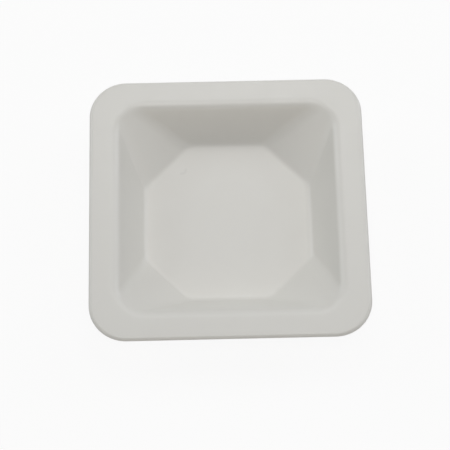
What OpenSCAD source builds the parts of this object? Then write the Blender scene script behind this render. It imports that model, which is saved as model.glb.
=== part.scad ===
// Square weighing boat, formed from one sheet of white polystyrene.
//
// A flat rim with rounded corners turns down into four steep walls and four
// shallow corner facets, which meet a flat eight-sided floor. The origin is
// at the centre of the underside, with Z up.
//
// The sheet is lofted through level rings. A ring is an eight-sided outline
// with rounded corners, set by how far out its walls and its corner facets
// lie, so the mouth and the rim are the same outline with its facets gone.

/* [Boat] */
// Width of the boat across its rim, from edge to edge
boat_w = 46; // [40:1:160]
// Height from the underside of the floor to the top of the rim
boat_h = 8; // [4:0.5:40]
// Thickness of the sheet
sheet_t = 0.4; // [0.2:0.05:0.55]

/* [Rim] */
// Width of the rim, from its edge to where the faces of the walls meet its top
rim_w = 4.65; // [2:0.05:8]
// Radius of the corners of the rim
rim_corner_r = 6.2; // [2:0.1:12]
// Radius of the corners of the mouth
mouth_corner_r = 3.9; // [1:0.1:8]
// Radius of the bend from the rim into the walls, on top
rim_bend_r = 2; // [0.6:0.1:3]

/* [Edge] */
// Radius of the bend that turns the edge of the rim down, on top
edge_bend_r = 0.6; // [0.5:0.05:2]
// Angle that the edge is turned down by, in degrees
edge_angle = 75; // [20:5:90]
// Length of the edge past its bend
edge_len = 0.2; // [0.05:0.05:2]

/* [Floor] */
// Width of the floor between opposite walls, where their faces meet it
floor_w = 28; // [18:0.1:36]
// Length that each corner of the floor is cut back by, along a wall
floor_cut = 7.5; // [3:0.1:12]
// Radius of the eight corners of the floor
floor_corner_r = 3.2; // [0.3:0.1:5]
// Radius of the bend from the floor into the walls, inside
floor_bend_r = 1.4; // [0.3:0.1:4]

/* [Smoothness] */
// Straight steps in each half of a rounded corner
corner_steps = 8; // [2:1:12]
// Straight steps across each bend of the sheet
bend_steps = 6; // [2:1:8]

/* [Hidden] */

// How far out the walls and the corner facets lie, at the floor and at the mouth
wall_foot = floor_w / 2;
wall_head = boat_w / 2 - rim_w;
facet_foot = (floor_w - floor_cut) / sqrt(2);
facet_head = round_corner_reach(wall_head, mouth_corner_r);

// How high the walls rise, and their angle to the floor
wall_rise = boat_h - sheet_t;
wall_angle = atan2(wall_rise, wall_head - wall_foot);

// How far the turned edge reaches out past the flat of the rim
edge_reach = edge_bend_r * sin(edge_angle) + edge_len * cos(edge_angle);

// How far out the corner of a square of this half width lies, with its radius
function round_corner_reach(half_w, r) = sqrt(2) * (half_w - r) + r;

// A level outline whose four sides lie side away from the centre, whose four
// corner facets lie facet away, and whose eight corners have radius r
function ring(side, facet, r, z) =
    let (
        u = side - r,
        v = sqrt(2) * (facet - r) - u,
        last = 2 * corner_steps + 1
    )
    [
        for (turn = [0:90:270], i = [0:last])
            let (
                angle = 90 * i / last,
                centre = i <= corner_steps ? [u, v] : [v, u],
                x = centre.x + r * cos(angle),
                y = centre.y + r * sin(angle)
            )
            [x * cos(turn) - y * sin(turn), x * sin(turn) + y * cos(turn), z]
    ];

// How far an arc of radius r has run by the time it has risen this much
function arc_run(r, rise) = sqrt(rise * (2 * r - rise));

// How far out the sheet lies at a height above its foot, going from foot to
// head with a bend at each. The surface lies this deep under the top side.
function sheet_reach(foot, head, height, depth) =
    let (
        angle = atan2(wall_rise, head - foot),
        low_r = floor_bend_r + depth,
        high_r = rim_bend_r - depth,
        fall = wall_rise - height
    )
    height < low_r * (1 - cos(angle)) ?
        foot - floor_bend_r * tan(angle / 2) + arc_run(low_r, height)
    : fall < high_r * (1 - cos(angle)) ?
        head + rim_bend_r * tan(angle / 2) - arc_run(high_r, fall)
    : foot + depth * tan(angle / 2) + height / tan(angle);

// A ring of the walls, at a height above their foot
function wall_ring(height, depth) =
    let (corner_r = floor_corner_r + (mouth_corner_r - floor_corner_r) * height / wall_rise)
    ring(
        sheet_reach(wall_foot, wall_head, height, depth),
        sheet_reach(facet_foot, facet_head, height, depth),
        corner_r + depth,
        sheet_t - depth + height
    );

// Rings up the walls, through the bend at the floor and the bend at the rim
function wall_rings(depth) = [
    for (i = [0:bend_steps])
        wall_ring((floor_bend_r + depth) * (1 - cos(wall_angle * i / bend_steps)), depth),
    for (i = [bend_steps:-1:0])
        wall_ring(
            wall_rise - (rim_bend_r - depth) * (1 - cos(wall_angle * i / bend_steps)),
            depth
        )
];

// A ring of the turned edge, at an angle round its bend and a length past it
function edge_ring(angle, past, depth) =
    let (
        bend_r = edge_bend_r - depth,
        inset = edge_reach - bend_r * sin(angle) - past * cos(angle),
        side = boat_w / 2 - inset,
        corner_r = rim_corner_r - inset
    )
    ring(
        side,
        round_corner_reach(side, corner_r),
        corner_r,
        boat_h - edge_bend_r + bend_r * cos(angle) - past * sin(angle)
    );

// Rings out over the turned edge of the rim, to where the sheet is cut
function edge_rings(depth) = [
    for (i = [0:bend_steps])
        edge_ring(edge_angle * i / bend_steps, 0, depth),
    edge_ring(edge_angle, edge_len, depth)
];

function reversed(list) = [for (i = [len(list) - 1:-1:0]) list[i]];

// A closed solid through a list of rings, from the first to the last
module loft(rings) {
    size = len(rings[0]);
    end = (len(rings) - 1) * size;
    polyhedron(
        points = [for (r = rings) each r],
        faces = [
            [for (i = [size - 1:-1:0]) i],
            for (base = [0:size:end - size], i = [0:size - 1])
                let (
                    a = base + i,
                    b = base + (i + 1) % size
                )
                each [[a, b, b + size], [a, b + size, a + size]],
            [for (i = [0:size - 1]) end + i]
        ]
    );
}

module weighing_boat() {
    top_side = concat(wall_rings(0), edge_rings(0));
    underside = concat(wall_rings(sheet_t), edge_rings(sheet_t));
    color("#dddcd6")
        loft(concat(top_side, reversed(underside)));
}

weighing_boat();
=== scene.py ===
"""A square weighing boat of thin white polystyrene, on a pale floor under soft light."""

import math

import bpy
import numpy as np
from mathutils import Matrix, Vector

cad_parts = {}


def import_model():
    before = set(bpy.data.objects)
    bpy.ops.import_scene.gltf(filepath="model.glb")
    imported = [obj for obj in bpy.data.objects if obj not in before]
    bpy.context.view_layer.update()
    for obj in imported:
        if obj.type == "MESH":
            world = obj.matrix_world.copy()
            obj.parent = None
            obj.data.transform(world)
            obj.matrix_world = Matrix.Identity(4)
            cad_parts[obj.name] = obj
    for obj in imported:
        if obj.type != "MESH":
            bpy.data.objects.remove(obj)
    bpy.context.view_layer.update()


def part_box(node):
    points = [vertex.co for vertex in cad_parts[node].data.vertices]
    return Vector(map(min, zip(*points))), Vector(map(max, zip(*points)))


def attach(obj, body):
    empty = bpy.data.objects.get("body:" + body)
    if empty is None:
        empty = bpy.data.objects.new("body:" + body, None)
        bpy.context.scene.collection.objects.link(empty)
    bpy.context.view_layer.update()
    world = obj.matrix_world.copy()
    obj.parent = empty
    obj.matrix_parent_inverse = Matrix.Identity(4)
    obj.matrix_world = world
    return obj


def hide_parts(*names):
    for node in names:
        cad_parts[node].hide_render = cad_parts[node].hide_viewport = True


MM = 0.001
NODE = "weighing_boat"

# The formed sheet, as in the part's source
SHEET_T = 0.4 * MM
RIM_W = 4.65 * MM
RIM_CORNER_R = 6.2 * MM
MOUTH_CORNER_R = 3.9 * MM
RIM_BEND_R = 2.0 * MM
EDGE_BEND_R = 0.6 * MM
EDGE_ANGLE = math.radians(75)
EDGE_LEN = 0.2 * MM
FLOOR_W = 28.0 * MM
FLOOR_CUT = 7.5 * MM
FLOOR_CORNER_R = 3.2 * MM
FLOOR_BEND_R = 1.4 * MM

# Lower than this, the sheet is its floor
FLOOR_ZONE = 2 * SHEET_T

# How finely the sheet is drawn. A crowding below 1 draws the floor's rings towards the walls.
CORNER_STEPS = 10
FACET_STEPS = 12
SIDE_STEPS = 26
BEND_STEPS = 8
WALL_STEPS = 8
RIM_STEPS = 6
FLOOR_STEPS = 12
FLOOR_CROWDING = 0.8
CUT_STEPS = 3

# How far the cut edge is eased, and how far the rim dips and the floor rises
CUT_R = 0.06 * MM
RIM_DIP = 0.05 * MM
FLOOR_CROWN = 0.04 * MM

# The dips of the rim, as a share of the deepest: their mean, and the waves round it, each
# with how many there are, how strong they are and where they start in radians
DIP_MEAN = 0.5
DIP_WAVES = ((2, 0.25, 0.7), (3, 0.15, 2.1), (5, 0.1, 0))

# The plastic: its colour, its satin gloss and its index of refraction
PLASTIC = (0.75, 0.739, 0.705, 1)
PLASTIC_DARK = (0.744, 0.732, 0.698, 1)
ROUGHNESS = (0.37, 0.43)
PLASTIC_IOR = 1.59

# The unevenness of its colour, of its gloss and of its surface: the size of the patches of
# noise, the finer layers in them, and the stretch of the noise that counts or its depth
CLOUD_NOISE = (6 * MM, 3)
CLOUD_STRETCH = (0.3, 0.7)
GLOSS_NOISE = (4 * MM, 2)
GLOSS_STRETCH = (0.25, 0.75)
PEEL_NOISE = (1.6 * MM, 1)
GRAIN_NOISE = (0.25 * MM, 3)
BUMP_DEPTH = 0.002 * MM

# The faint hooked mark on the floor of the boat: an arc round a point, which fades towards
# its ends from this share of its half angle on
MARK_CENTRE = (-7.67 * MM, 9.74 * MM)
MARK_R = 0.66 * MM
MARK_W = 0.42 * MM
MARK_BEARING = math.radians(-48)
MARK_HALF_ANGLE = math.radians(85)
MARK_FADE = 0.6
MARK_SHADE = 0.94

# The floor under the boat: half its width, its colour, the white that the camera sees over
# it, the share of its own shading that is seen through near the boat, and how far out that
# share starts to fade and is gone
FLOOR_HALF = 1.5
FLOOR_PALE = (0.9, 0.9, 0.9, 1)
WHITE = (1, 1, 1, 1)
SHADING_SEEN = 0.09
SHADING_NEAR = 0.15
SHADING_FAR = 0.6

# Soft square lamps: bearing and elevation in degrees, distance and size in metres, power in
# watts, and colour. A bearing of 0 is straight behind the boat, and 90 is to its right.
LAMPS = {
    "key": (0, 60, 0.25, 0.1, 0.083, (1.0, 0.99, 0.97)),
    "back": (45, 55, 0.3, 0.25, 0.095, (1.0, 1.0, 0.99)),
    "overhead": (180, 75, 1.0, 0.4, 2.4, (1.0, 0.99, 0.98)),
    "right": (60, 25, 1.0, 0.5, 2.0, (0.92, 0.96, 1.0)),
    "left": (300, 25, 1.0, 0.5, 2.2, (0.95, 0.99, 1.0)),
    "low": (180, 8, 1.0, 0.2, 0.85, (1.0, 0.93, 0.8)),
}
SKY_COLOUR = (1.0, 1.0, 0.99, 1)
SKY_STRENGTH = 0.13

# The camera: the point at the height of the rim that it looks at, its distance from there,
# the bearing and the downward slope of its look, its focal length in millimetres, and how
# near to it things start to be seen
CAMERA_AIM = (-0.58 * MM, -3.53 * MM)
CAMERA_DISTANCE = 280 * MM
CAMERA_AZIMUTH = math.radians(1.33)
CAMERA_ELEVATION = math.radians(68.51)
CAMERA_LENS = 136.2
CAMERA_NEAR = 10 * MM

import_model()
box_low, box_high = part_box(NODE)
BOAT_W = box_high.x - box_low.x
BOAT_H = box_high.z - box_low.z

# How high the walls rise, how far out they and the corner facets lie at the floor and at the
# mouth, how steep they are, and how far the turned edge reaches past the flat of the rim
WALL_RISE = BOAT_H - SHEET_T
WALL_FOOT = FLOOR_W / 2
WALL_HEAD = BOAT_W / 2 - RIM_W
FACET_FOOT = (FLOOR_W - FLOOR_CUT) / math.sqrt(2)
FACET_HEAD = math.sqrt(2) * (WALL_HEAD - MOUTH_CORNER_R) + MOUTH_CORNER_R
WALL_ANGLE = math.atan2(WALL_RISE, WALL_HEAD - WALL_FOOT)
EDGE_REACH = EDGE_BEND_R * math.sin(EDGE_ANGLE) + EDGE_LEN * math.cos(EDGE_ANGLE)


def ring(side, facet, radius, z):
    """A level outline of the sheet: four sides, four corner facets and eight rounded corners."""
    u = side - radius
    v = math.sqrt(2) * (facet - radius) - u
    angles = np.linspace(0, math.pi / 2, 2 * CORNER_STEPS + 2)
    arc = radius * np.stack([np.cos(angles), np.sin(angles)], axis=1)
    first = arc[: CORNER_STEPS + 1] + [u, v]
    second = arc[CORNER_STEPS + 1 :] + [v, u]
    across = np.linspace(first[-1], second[0], FACET_STEPS + 1)[1:-1]
    next_start = [-first[0][1], first[0][0]]
    along = np.linspace(second[-1], next_start, SIDE_STEPS + 1)[1:-1]
    x, y = np.concatenate([first, across, second, along]).T
    quarters = [(x, y), (-y, x), (-x, -y), (y, -x)]
    whole = np.concatenate([np.stack(quarter, axis=1) for quarter in quarters])
    return np.column_stack([whole, np.full(len(whole), z)])


def arc_run(radius, rise):
    """How far an arc has run by the time it has risen this much."""
    return math.sqrt(max(rise * (2 * radius - rise), 0.0))


def sheet_reach(foot, head, height, depth):
    """How far out the sheet lies at a height above its foot, this deep under its top side."""
    angle = math.atan2(WALL_RISE, head - foot)
    low_r = FLOOR_BEND_R + depth
    high_r = RIM_BEND_R - depth
    fall = WALL_RISE - height
    if height < low_r * (1 - math.cos(angle)):
        return foot - FLOOR_BEND_R * math.tan(angle / 2) + arc_run(low_r, height)
    if fall < high_r * (1 - math.cos(angle)):
        return head + RIM_BEND_R * math.tan(angle / 2) - arc_run(high_r, fall)
    return foot + depth * math.tan(angle / 2) + height / math.tan(angle)


def wall_ring(height, depth):
    """A ring of the walls, at a height above their foot."""
    share = height / WALL_RISE
    radius = FLOOR_CORNER_R + (MOUTH_CORNER_R - FLOOR_CORNER_R) * share + depth
    return ring(
        sheet_reach(WALL_FOOT, WALL_HEAD, height, depth),
        sheet_reach(FACET_FOOT, FACET_HEAD, height, depth),
        radius,
        SHEET_T - depth + height,
    )


def edge_ring(angle, past, depth):
    """A ring of the turned edge, at an angle round its bend and a length past it."""
    bend_r = EDGE_BEND_R - depth
    inset = EDGE_REACH - bend_r * math.sin(angle) - past * math.cos(angle)
    side = BOAT_W / 2 - inset
    radius = RIM_CORNER_R - inset
    facet = math.sqrt(2) * (side - radius) + radius
    z = BOAT_H - EDGE_BEND_R + bend_r * math.cos(angle) - past * math.sin(angle)
    return ring(side, facet, radius, z)


def skin(depth):
    """Rings over one side of the sheet, from the floor's middle to the end of the edge's bend."""
    low_r = FLOOR_BEND_R + depth
    high_r = RIM_BEND_R - depth
    turns = np.linspace(0, WALL_ANGLE, BEND_STEPS + 1)
    low = [low_r * (1 - math.cos(a)) for a in turns]
    high = [WALL_RISE - high_r * (1 - math.cos(a)) for a in turns[::-1]]
    straight = list(np.linspace(low[-1], high[0], WALL_STEPS + 1)[1:-1])
    walls = [wall_ring(height, depth) for height in low + straight + high]
    edge = [edge_ring(a, 0, depth) for a in np.linspace(0, EDGE_ANGLE, BEND_STEPS + 1)]
    floor_shares = np.linspace(0, 1, FLOOR_STEPS + 1)[1:-1] ** FLOOR_CROWDING
    floor_rings = [walls[0] * [share, share, 1] for share in floor_shares]
    rim_shares = np.linspace(0, 1, RIM_STEPS + 1)[1:-1]
    rim_rings = [walls[-1] * (1 - share) + edge[0] * share for share in rim_shares]
    return floor_rings + walls + rim_rings + edge


def cut_rings():
    """Rings round the cut through the sheet at the end of the edge, with both corners eased."""
    turns = np.linspace(0, math.pi / 2, CUT_STEPS + 1)
    over = [(EDGE_LEN - CUT_R * (1 - math.sin(a)), CUT_R * (1 - math.cos(a))) for a in turns]
    under = [(past, SHEET_T - depth) for past, depth in reversed(over)]
    return [edge_ring(EDGE_ANGLE, past, depth) for past, depth in over + under]


def stray(points):
    """Lets the rim dip in slow waves and the floor rise in the middle, as a thin sheet does."""
    x, y, z = points.T
    out = np.hypot(x, y)
    turn = np.arctan2(y, x)
    wave = np.full_like(turn, DIP_MEAN)
    for count, strength, start in DIP_WAVES:
        wave += strength * np.sin(count * turn + start)
    dip = RIM_DIP * wave * (z / BOAT_H).clip(0, 1) ** 2 * (2 * out / BOAT_W) ** 2
    crown = FLOOR_CROWN * (1 - (out / WALL_FOOT) ** 2).clip(0, 1) * (z < FLOOR_ZONE)
    return np.column_stack([x, y, z - dip + crown])


def boat_mesh():
    """The whole sheet as one closed mesh: top side, cut edge and underside."""
    rings = skin(0) + cut_rings() + skin(SHEET_T)[::-1]
    size = len(rings[0])
    middles = [[0, 0, SHEET_T], [0, 0, 0]]
    points = stray(np.concatenate(rings + [middles]))
    top, bottom = len(points) - 2, len(points) - 1
    last = (len(rings) - 1) * size
    pairs = [(a, (a + 1) % size) for a in range(size)]
    faces = [(top, a, b) for a, b in pairs]
    for base in range(0, last, size):
        faces += [(a + base, a + base + size, b + base + size, b + base) for a, b in pairs]
    faces += [(bottom, last + b, last + a) for a, b in pairs]
    mesh = bpy.data.meshes.new("boat_sheet")
    mesh.from_pydata(points.tolist(), [], faces)
    mesh.validate()
    mesh.polygons.foreach_set("use_smooth", [True] * len(mesh.polygons))
    mesh.update()
    return mesh


def math_node(nodes, links, operation, *values):
    """A Math node fed with numbers or with other nodes' outputs."""
    node = nodes.new("ShaderNodeMath")
    node.operation = operation
    for socket, value in zip(node.inputs, values):
        if isinstance(value, bpy.types.NodeSocket):
            links.new(value, socket)
        else:
            socket.default_value = value
    return node.outputs[0]


def ramp(nodes, links, value, start, end, low=0.0, high=1.0):
    """Takes a value smoothly from low at start to high at end, and holds it outside them."""
    node = nodes.new("ShaderNodeMapRange")
    node.interpolation_type = "SMOOTHSTEP"
    links.new(value, node.inputs["Value"])
    node.inputs["From Min"].default_value = start
    node.inputs["From Max"].default_value = end
    node.inputs["To Min"].default_value = low
    node.inputs["To Max"].default_value = high
    return node.outputs[0]


def noise(nodes, links, place, size, detail):
    """Noise whose patches are about this size across."""
    node = nodes.new("ShaderNodeTexNoise")
    node.inputs["Scale"].default_value = 1 / size
    node.inputs["Detail"].default_value = detail
    links.new(place, node.inputs["Vector"])
    return node.outputs["Fac"]


def hooked_mark(nodes, links, place):
    """How much of the faint hooked mark lies at a place on the floor of the boat, from 0 to 1."""
    split = nodes.new("ShaderNodeSeparateXYZ")
    links.new(place, split.inputs[0])
    dx = math_node(nodes, links, "SUBTRACT", split.outputs["X"], MARK_CENTRE[0])
    dy = math_node(nodes, links, "SUBTRACT", split.outputs["Y"], MARK_CENTRE[1])
    squares = [math_node(nodes, links, "MULTIPLY", d, d) for d in (dx, dy)]
    out = math_node(nodes, links, "SQRT", math_node(nodes, links, "ADD", *squares))
    off = math_node(nodes, links, "ABSOLUTE", math_node(nodes, links, "SUBTRACT", out, MARK_R))
    line = ramp(nodes, links, off, 0, MARK_W, 1, 0)
    turn = math_node(nodes, links, "ARCTAN2", dy, dx)
    turned = math_node(nodes, links, "SUBTRACT", turn, MARK_BEARING)
    aside = math_node(nodes, links, "ABSOLUTE", turned)
    stretch = ramp(nodes, links, aside, MARK_FADE * MARK_HALF_ANGLE, MARK_HALF_ANGLE, 1, 0)
    inside = math_node(nodes, links, "GREATER_THAN", split.outputs["Z"], SHEET_T / 2)
    low = math_node(nodes, links, "LESS_THAN", split.outputs["Z"], FLOOR_ZONE)
    there = math_node(nodes, links, "MULTIPLY", inside, low)
    mark = math_node(nodes, links, "MULTIPLY", line, stretch)
    return math_node(nodes, links, "MULTIPLY", mark, there)


def bump(nodes, links, height, distance, under=None):
    """Raises a surface by a height from 0 to 1, up to this distance, over the bumps under it."""
    node = nodes.new("ShaderNodeBump")
    node.inputs["Distance"].default_value = distance
    links.new(height, node.inputs["Height"])
    if under:
        links.new(under, node.inputs["Normal"])
    return node.outputs["Normal"]


def polystyrene():
    """White satin polystyrene: faintly cloudy, with an orange peel, a fine grain and one mark."""
    material = bpy.data.materials.new("satin_polystyrene")
    material.use_nodes = True
    nodes, links = material.node_tree.nodes, material.node_tree.links
    shader = nodes["Principled BSDF"]
    shader.inputs["IOR"].default_value = PLASTIC_IOR
    place = nodes.new("ShaderNodeTexCoord").outputs["Object"]

    cloud = ramp(nodes, links, noise(nodes, links, place, *CLOUD_NOISE), *CLOUD_STRETCH)
    tint = nodes.new("ShaderNodeMix")
    tint.data_type = "RGBA"
    tint.inputs["A"].default_value = PLASTIC_DARK
    tint.inputs["B"].default_value = PLASTIC
    links.new(cloud, tint.inputs["Factor"])
    mark = hooked_mark(nodes, links, place)
    shade = nodes.new("ShaderNodeMix")
    shade.data_type = "RGBA"
    shade.blend_type = "MULTIPLY"
    shade.inputs["B"].default_value = (MARK_SHADE, MARK_SHADE, MARK_SHADE, 1)
    links.new(mark, shade.inputs["Factor"])
    links.new(tint.outputs["Result"], shade.inputs["A"])
    links.new(shade.outputs["Result"], shader.inputs["Base Color"])

    patches = noise(nodes, links, place, *GLOSS_NOISE)
    gloss = ramp(nodes, links, patches, *GLOSS_STRETCH, *ROUGHNESS)
    links.new(gloss, shader.inputs["Roughness"])

    peel = bump(nodes, links, noise(nodes, links, place, *PEEL_NOISE), BUMP_DEPTH)
    grain = bump(nodes, links, noise(nodes, links, place, *GRAIN_NOISE), BUMP_DEPTH, peel)
    links.new(grain, shader.inputs["Normal"])
    return material


def boat():
    """The boat itself, in place of its CAD node."""
    piece = bpy.data.objects.new("boat_sheet", boat_mesh())
    bpy.context.scene.collection.objects.link(piece)
    piece.data.materials.append(polystyrene())
    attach(piece, "root")
    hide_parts(NODE)


def seen_white(nodes, links):
    """1 for the rays that show a surface to the camera, straight on or by gloss or glass."""
    path = nodes.new("ShaderNodeLightPath").outputs
    mirrored = math_node(
        nodes, links, "MAXIMUM", path["Is Glossy Ray"], path["Is Transmission Ray"]
    )
    return math_node(nodes, links, "MAXIMUM", path["Is Camera Ray"], mirrored)


def floor_material():
    """Matte and pale to the light. The camera sees it near white, with the boat's faint shadow."""
    material = bpy.data.materials.new("pale_floor")
    material.use_nodes = True
    nodes, links = material.node_tree.nodes, material.node_tree.links
    nodes.remove(nodes["Principled BSDF"])
    matte = nodes.new("ShaderNodeBsdfDiffuse")
    matte.inputs["Color"].default_value = FLOOR_PALE
    white = nodes.new("ShaderNodeEmission")
    white.inputs["Color"].default_value = WHITE
    place = nodes.new("ShaderNodeTexCoord").outputs["Object"]
    reach = nodes.new("ShaderNodeVectorMath")
    reach.operation = "LENGTH"
    links.new(place, reach.inputs[0])
    whiteness = ramp(
        nodes, links, reach.outputs["Value"], SHADING_NEAR, SHADING_FAR, 1 - SHADING_SEEN, 1
    )
    share = math_node(nodes, links, "MULTIPLY", whiteness, seen_white(nodes, links))
    blend = nodes.new("ShaderNodeMixShader")
    links.new(share, blend.inputs["Fac"])
    links.new(matte.outputs["BSDF"], blend.inputs[1])
    links.new(white.outputs["Emission"], blend.inputs[2])
    links.new(blend.outputs["Shader"], nodes["Material Output"].inputs["Surface"])
    return material


def floor():
    """A wide flat floor under the boat."""
    corners = [(-1, -1), (1, -1), (1, 1), (-1, 1)]
    mesh = bpy.data.meshes.new("floor")
    mesh.from_pydata([(x * FLOOR_HALF, y * FLOOR_HALF, 0) for x, y in corners], [], [(0, 1, 2, 3)])
    mesh.materials.append(floor_material())
    piece = bpy.data.objects.new("floor", mesh)
    bpy.context.scene.collection.objects.link(piece)


def pointing(azimuth, elevation):
    """The direction from the boat at this bearing and this elevation, both in radians."""
    return Vector(
        (
            math.sin(azimuth) * math.cos(elevation),
            math.cos(azimuth) * math.cos(elevation),
            math.sin(elevation),
        )
    )


def lamp(name, azimuth, elevation, distance, size, power, colour):
    """A soft square lamp that faces the boat, and doesn't show itself to the camera."""
    light = bpy.data.lights.new(name, "AREA")
    light.shape = "SQUARE"
    light.size = size
    light.energy = power
    light.color = colour
    piece = bpy.data.objects.new(name, light)
    bpy.context.scene.collection.objects.link(piece)
    away = pointing(math.radians(azimuth), math.radians(elevation))
    piece.location = away * distance
    piece.rotation_euler = away.to_track_quat("Z", "Y").to_euler()
    piece.visible_camera = False


def world():
    """An even pale sky that lights the boat, and shows white behind the floor."""
    sky = bpy.data.worlds.new("studio")
    sky.use_nodes = True
    nodes, links = sky.node_tree.nodes, sky.node_tree.links
    light = nodes["Background"]
    light.inputs["Color"].default_value = SKY_COLOUR
    light.inputs["Strength"].default_value = SKY_STRENGTH
    white = nodes.new("ShaderNodeBackground")
    white.inputs["Color"].default_value = WHITE
    blend = nodes.new("ShaderNodeMixShader")
    links.new(seen_white(nodes, links), blend.inputs["Fac"])
    links.new(light.outputs["Background"], blend.inputs[1])
    links.new(white.outputs["Background"], blend.inputs[2])
    links.new(blend.outputs["Shader"], nodes["World Output"].inputs["Surface"])
    bpy.context.scene.world = sky


def camera():
    """Looks steeply down into the mouth, from the front."""
    data = bpy.data.cameras.new("camera")
    data.lens = CAMERA_LENS
    data.clip_start = CAMERA_NEAR
    piece = bpy.data.objects.new("camera", data)
    bpy.context.scene.collection.objects.link(piece)
    look = pointing(CAMERA_AZIMUTH, -CAMERA_ELEVATION)
    piece.location = Vector((*CAMERA_AIM, BOAT_H)) - look * CAMERA_DISTANCE
    piece.rotation_euler = look.to_track_quat("-Z", "Y").to_euler()
    bpy.context.scene.camera = piece


camera()
boat()
floor()
for name, settings in LAMPS.items():
    lamp(name, *settings)
world()
bpy.context.scene.view_settings.view_transform = "Standard"
